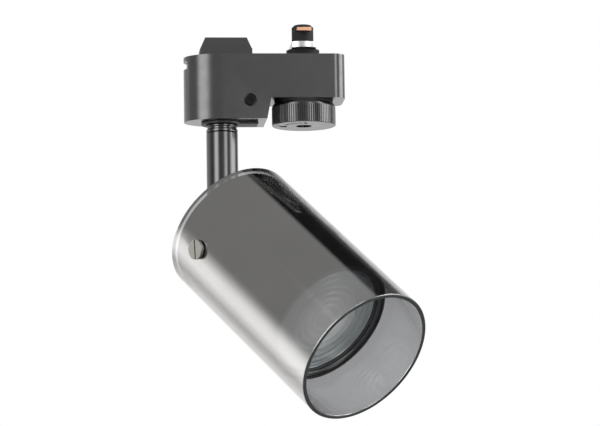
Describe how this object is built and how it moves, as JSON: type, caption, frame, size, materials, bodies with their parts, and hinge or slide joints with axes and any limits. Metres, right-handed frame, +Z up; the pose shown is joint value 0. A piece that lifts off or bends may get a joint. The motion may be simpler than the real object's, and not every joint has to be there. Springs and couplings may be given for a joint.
{
  "type": "track spotlight",
  "caption": "Track spotlight with a turn-lock track adapter, a swivelling stem and a tilting head in a smoked mirror glass tube over a black lamp housing.",
  "frame": {"origin": "centre of the adapter's seat face, which meets the underside of the track, midway along the adapter", "axes": "+X runs along the track from the stem end to the knob end, +Z points up into the track, and -Y is the side that shows the case screw"},
  "size_m": [0.1003, 0.1057, 0.17],
  "materials": {
    "case": "gunmetal grey, fine satin texture",
    "knob": "gunmetal grey, satin, fine straight knurl",
    "black_plastic": "black moulded plastic",
    "gunmetal": "black nickel, semi-gloss",
    "black_metal": "black anodised, satin",
    "smoked_glass": "smoked glass with a half-mirror coating",
    "nickel": "turned nickel plate",
    "bright_steel": "zinc plate",
    "black_screws": "black oxide",
    "brass": "machined",
    "copper": "sprung copper alloy",
    "wire": "silicone-sleeved heat-resistant wire",
    "black_rubber": "black rubber",
    "lamp_shell": "light grey thermal plastic with a mirror cup",
    "lens": "clear ringed lens",
    "phosphor": "yellow phosphor",
    "ceramic": "glazed ceramic"
  },
  "bodies": {
    "adapter": {"case_front": "case", "case_back": "case", "case_screw": "black_screws", "swivel_plate": "black_plastic", "swivel_bush": "brass", "guide_foot": "black_plastic", "earth_contact": "copper", "detent_ball": "bright_steel", "detent_spring": "bright_steel", "adapter_wires": "wire"},
    "turn_lock": {"knob": "knob", "knob_screw": "bright_steel", "lock_rotor": "black_plastic", "lock_cam": "bright_steel", "live_blade": "copper", "neutral_blade": "copper"},
    "stem": {"stem_collar": "gunmetal", "swivel_washer": "bright_steel", "swivel_nut": "bright_steel", "stem": "gunmetal", "knuckle": "gunmetal", "stem_wires": "wire"},
    "head": {"friction_washers": "bright_steel", "hinge_bracket": "gunmetal", "hinge_screws": "black_screws", "bracket_screws": "black_screws", "rear_cap": "black_metal", "lamp_housing": "black_metal", "glass_shade": "smoked_glass", "shade_screws": "nickel", "shade_washers": "black_rubber", "lamp_ring": "black_metal", "lamp_body": "lamp_shell", "lamp_lens": "lens", "led_module": "phosphor", "lamp_pins": "nickel", "lamp_holder": "ceramic", "holder_screws": "bright_steel", "head_wires": "wire"}
  },
  "joints": [
    {"name": "knob_turn", "type": "hinge", "parent": "adapter", "child": "turn_lock", "pos_m": [0.01685, 0, -0.0246], "axis": [0, 0, 1], "range_deg": [0, 90]},
    {"name": "stem_swivel", "type": "hinge", "parent": "adapter", "child": "stem", "pos_m": [-0.0178, 0, -0.03], "axis": [0, 0, 1], "range_deg": [-170, 170]},
    {"name": "head_tilt", "type": "hinge", "parent": "stem", "child": "head", "pos_m": [-0.0178, 0, -0.069], "axis": [0.766, 0.6428, 0], "range_deg": [-37.9, 52.1]}
  ]
}
